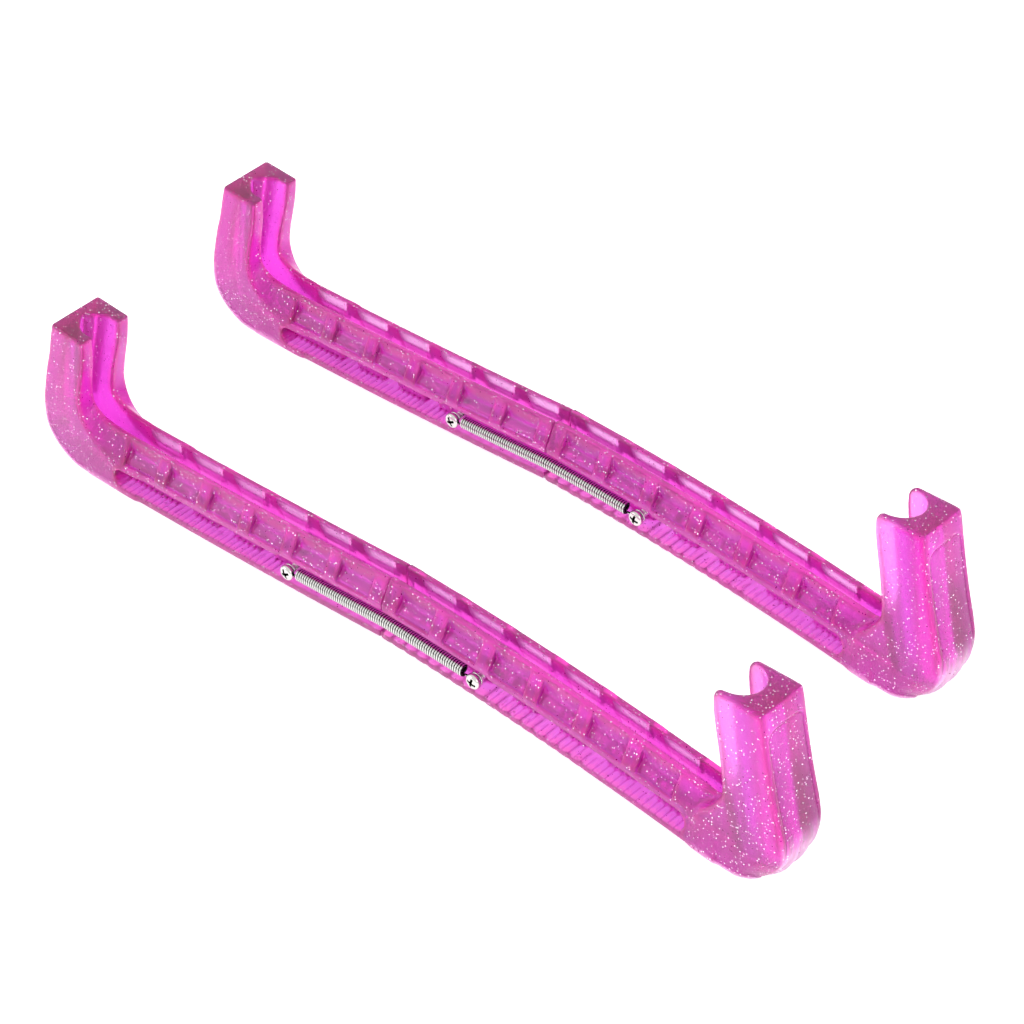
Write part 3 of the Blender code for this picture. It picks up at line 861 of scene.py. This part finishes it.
def steel(name, shade, painted_shade, roughness, mark, low, high):
    """Bright steel with painted shade: darkened where the named mark is between low and high."""
    material, tree, shader = new_material(name)
    place = tree.nodes.new("ShaderNodeTexCoord").outputs["Object"]
    shader.inputs["Metallic"].default_value = 1
    shaded = map_range(tree, attribute(tree, mark), low, high)
    tree.links.new(blend_colour(tree, shaded, (*shade, 1), (*painted_shade, 1)), shader.inputs["Base Color"])
    spread = calc(tree, "MULTIPLY_ADD", noise(tree, place, STEEL_GRAIN), ROUGHNESS_SPREAD, roughness)
    tree.links.new(spread, shader.inputs["Roughness"])
    return material


def painted_wall_glow(tree):
    """1 on the far wall behind each pocket, where light shining through the thin wall is painted; each patch
    starts on a slant.
    """
    low, high = THIN_WALL
    pocket = attribute(tree, "pocket")
    up = attribute(tree, "up")
    start = map_range(tree, up, low, high, 0.24, 0.04)
    inside = calc(tree, "GREATER_THAN", calc(tree, "FRACT", pocket), start)
    aside = attribute(tree, "aside")
    for value, least in ((pocket, 0), (up, low), (aside, 0)):
        inside = calc(tree, "MULTIPLY", inside, calc(tree, "GREATER_THAN", value, least))
    ends = ((calc(tree, "FRACT", pocket), POCKET_LENGTH / POCKET_PITCH), (pocket, POCKETS), (up, high))
    for value, most in (*ends, (aside, POCKET_FLOOR_HALF + 0.3)):
        inside = calc(tree, "MULTIPLY", inside, calc(tree, "LESS_THAN", value, most))
    return inside


def glitter_plastic():
    """Clear plastic coloured by its depth, frosted, with small flakes that face all ways, and with light and
    shade painted into its colour on ridges, nooks, tops, rims, pocket walls and grooves.
    """
    material, tree, shader = new_material("pink_glitter_plastic")
    place = tree.nodes.new("ShaderNodeTexCoord").outputs["Object"]
    cells = tree.nodes.new("ShaderNodeTexVoronoi")
    cells.inputs["Scale"].default_value = 1 / FLAKE_CELL
    tree.links.new(place, cells.inputs["Vector"])
    chance = tree.nodes.new("ShaderNodeSeparateColor")
    tree.links.new(cells.outputs["Color"], chance.inputs["Color"])
    least_size, more_size = FLAKE_SIZE
    size = calc(tree, "MULTIPLY_ADD", chance.outputs["Green"], more_size, least_size)
    inside = calc(tree, "LESS_THAN", cells.outputs["Distance"], size)
    flake = calc(tree, "MULTIPLY", inside, calc(tree, "LESS_THAN", chance.outputs["Red"], FLAKE_SHARE))
    shades = tree.nodes.new("ShaderNodeValToRGB")
    shades.color_ramp.interpolation = "CONSTANT"
    while len(shades.color_ramp.elements) < len(FLAKE_SHADES):
        shades.color_ramp.elements.new(0.5)
    for element, (position, shade) in zip(shades.color_ramp.elements, FLAKE_SHADES):
        element.position = position
        element.color = shade
    tree.links.new(chance.outputs["Blue"], shades.inputs["Fac"])
    edge = attribute(tree, "edge")
    # painted light on ridges, from the edge mark
    tint = blend_colour(tree, map_range(tree, edge, 0.02, 0.22), TINT, PAINTED_EDGE_LIGHT)
    # painted shade in nooks, from the edge mark
    tint = blend_colour(tree, map_range(tree, edge, -0.04, -0.18), tint, PAINTED_NOOK_SHADE)
    # painted shade on the cups' tops
    tint = blend_colour(tree, attribute(tree, "top"), tint, PAINTED_TOP_SHADE)
    welt_mark = attribute(tree, "welt")
    # painted light on the rim along the cups' feet
    tint = blend_colour(tree, welt_mark, tint, PAINTED_WELT_LIGHT)
    # painted light shining through the wall behind each pocket
    tint = blend_colour(tree, painted_wall_glow(tree), tint, PAINTED_WALL_GLOW)
    # stripes of painted shade in the cut marks on the ledge, and along the line round the heel's panel
    across = calc(tree, "FRACT", calc(tree, "ADD", attribute(tree, "mark"), 0.5))
    stripe = calc(tree, "LESS_THAN", calc(tree, "ABSOLUTE", calc(tree, "SUBTRACT", across, 0.5)), STRIPE_HALF)
    stripe = calc(tree, "MULTIPLY", calc(tree, "MULTIPLY", stripe, attribute(tree, "ledge")), STRIPE_SHARE)
    tint = blend_colour(tree, calc(tree, "MAXIMUM", stripe, attribute(tree, "line")), tint, PAINTED_GROOVE_SHADE)
    tree.links.new(blend_colour(tree, flake, tint, shades.outputs["Color"]), shader.inputs["Base Color"])
    # metallic for the glitter flakes, and a painted sheen on the rim along the cups' feet
    flakes_and_painted_sheen = calc(tree, "MAXIMUM", flake, calc(tree, "MULTIPLY", welt_mark, PAINTED_WELT_SHEEN))
    tree.links.new(flakes_and_painted_sheen, shader.inputs["Metallic"])

    waves = noise(tree, place, WAVES)
    tree.links.new(calc(tree, "MULTIPLY_ADD", waves, ROUGHNESS_SPREAD, FROST), shader.inputs["Roughness"])
    height = calc(tree, "MULTIPLY_ADD", waves, 3.0, noise(tree, place, GRAIN, 3))
    bump = tree.nodes.new("ShaderNodeBump")
    bump.inputs["Strength"].default_value = 0.5
    bump.inputs["Distance"].default_value = BUMP_HEIGHT
    tree.links.new(height, bump.inputs["Height"])
    tilt = vector_calc(tree, "SUBTRACT", cells.outputs["Color"], (0.5, 0.5, 0.5))
    scaled = tree.nodes.new("ShaderNodeVectorMath")
    scaled.operation = "SCALE"
    tree.links.new(tilt, scaled.inputs["Vector"])
    tree.links.new(calc(tree, "MULTIPLY", flake, FLAKE_TILT), scaled.inputs["Scale"])
    facing = vector_calc(tree, "ADD", bump.outputs["Normal"], scaled.outputs["Vector"])
    tree.links.new(vector_calc(tree, "NORMALIZE", facing), shader.inputs["Normal"])

    shader.inputs["IOR"].default_value = PLASTIC_IOR
    shader.inputs["Transmission Weight"].default_value = TRANSMISSION
    absorb = tree.nodes.new("ShaderNodeVolumeAbsorption")
    absorb.inputs["Color"].default_value = ABSORPTION
    absorb.inputs["Density"].default_value = ABSORPTION_DENSITY
    tree.links.new(absorb.outputs["Volume"], tree.nodes["Material Output"].inputs["Volume"])
    return material


# ---------------------------------------------------------------- camera, light and floor


CAMERA_PLACE = (0.6395, -0.5920, 0.7793)      # metres from the left guard's joint
CAMERA_ANGLES = (44.86, 39.91, -2.46)         # turn, height and roll, in degrees
CAMERA_LENS = 129.5
BOX_LIGHTS = (("left_box", (-0.9, -0.9, 0.6)), ("right_box", (1.1, -0.1, 0.7)))
BOX_SIZE = (0.9, 0.6)
BOX_POWER = 2.5
LIGHT_AIM = (0, 0, 0.02)
FLOOR_HALF = 3.0
FLOOR_DROP = 0.0001             # keeps the floor out of the sole's faces


def make_camera():
    """Looks down over the heel of the left guard; the place is measured from that guard's joint."""
    data = bpy.data.cameras.new("camera")
    data.sensor_width = 36
    data.lens = CAMERA_LENS
    data.clip_start = 0.05
    data.clip_end = 20
    camera = bpy.data.objects.new("camera", data)
    bpy.context.scene.collection.objects.link(camera)
    turn, height, roll = (math.radians(v) for v in CAMERA_ANGLES)
    back = Vector((math.sin(turn) * math.cos(height), -math.cos(turn) * math.cos(height), math.sin(height)))
    right = Vector((math.cos(turn), math.sin(turn), 0))
    up = back.cross(right)
    right, up = right * math.cos(roll) + up * math.sin(roll), up * math.cos(roll) - right * math.sin(roll)
    place = guard_place("left") + Vector(CAMERA_PLACE)
    pose = Matrix((right, up, back)).transposed().to_4x4()
    camera.matrix_world = Matrix.Translation(place) @ pose
    bpy.context.scene.camera = camera


def box_light(name, place):
    """A soft rectangular light that looks at the guards."""
    data = bpy.data.lights.new(name, "AREA")
    data.shape = "RECTANGLE"
    data.size, data.size_y = BOX_SIZE
    data.energy = BOX_POWER
    light = bpy.data.objects.new(name, data)
    bpy.context.scene.collection.objects.link(light)
    way = Vector(place) - Vector(LIGHT_AIM)
    light.matrix_world = Matrix.Translation(place) @ way.to_track_quat("Z", "Y").to_matrix().to_4x4()


def make_world():
    """An even white sky."""
    world = bpy.data.worlds.new("studio")
    world.use_nodes = True
    tree = world.node_tree
    tree.nodes["Background"].inputs["Color"].default_value = (1, 1, 1, 1)
    tree.nodes["Background"].inputs["Strength"].default_value = 1.0
    bpy.context.scene.world = world


def make_stage():
    """A white floor under an even sky, and two soft lights."""
    bpy.context.scene.view_settings.view_transform = "Standard"
    make_world()
    material, _, shader = new_material("floor_white")
    shader.inputs["Base Color"].default_value = (0.93, 0.93, 0.93, 1)
    shader.inputs["Roughness"].default_value = 0.6
    shader.inputs["Emission Color"].default_value = (1, 1, 1, 1)
    shader.inputs["Emission Strength"].default_value = 0.7
    corners = [Vector((x * FLOOR_HALF, y * FLOOR_HALF, 0)) for x, y in ((-1, -1), (1, -1), (1, 1), (-1, 1))]
    floor = new_object("floor", corners, [(0, 1, 2, 3)])
    floor.location.z = -FLOOR_DROP
    floor.data.materials.append(material)
    for name, place in BOX_LIGHTS:
        box_light(name, place)


plastic = glitter_plastic()
make_half("toe", toe_field, toe_marks, TOE_BOX, plastic)
make_half("heel", heel_field, heel_marks, HEEL_BOX, plastic)
# the springs' wire gets painted shade between its coils
make_springs(steel("bright_spring_steel", SPRING_STEEL, SPRING_PAINTED_SHADE, 0.12, "groove", 0.06, 0.31))
# the screws get painted shade in their cross recess
make_screws(steel("bright_screw_steel", SCREW_STEEL, SCREW_PAINTED_SHADE, 0.16, "recess", 0.06, 0.35))
make_camera()
make_stage()
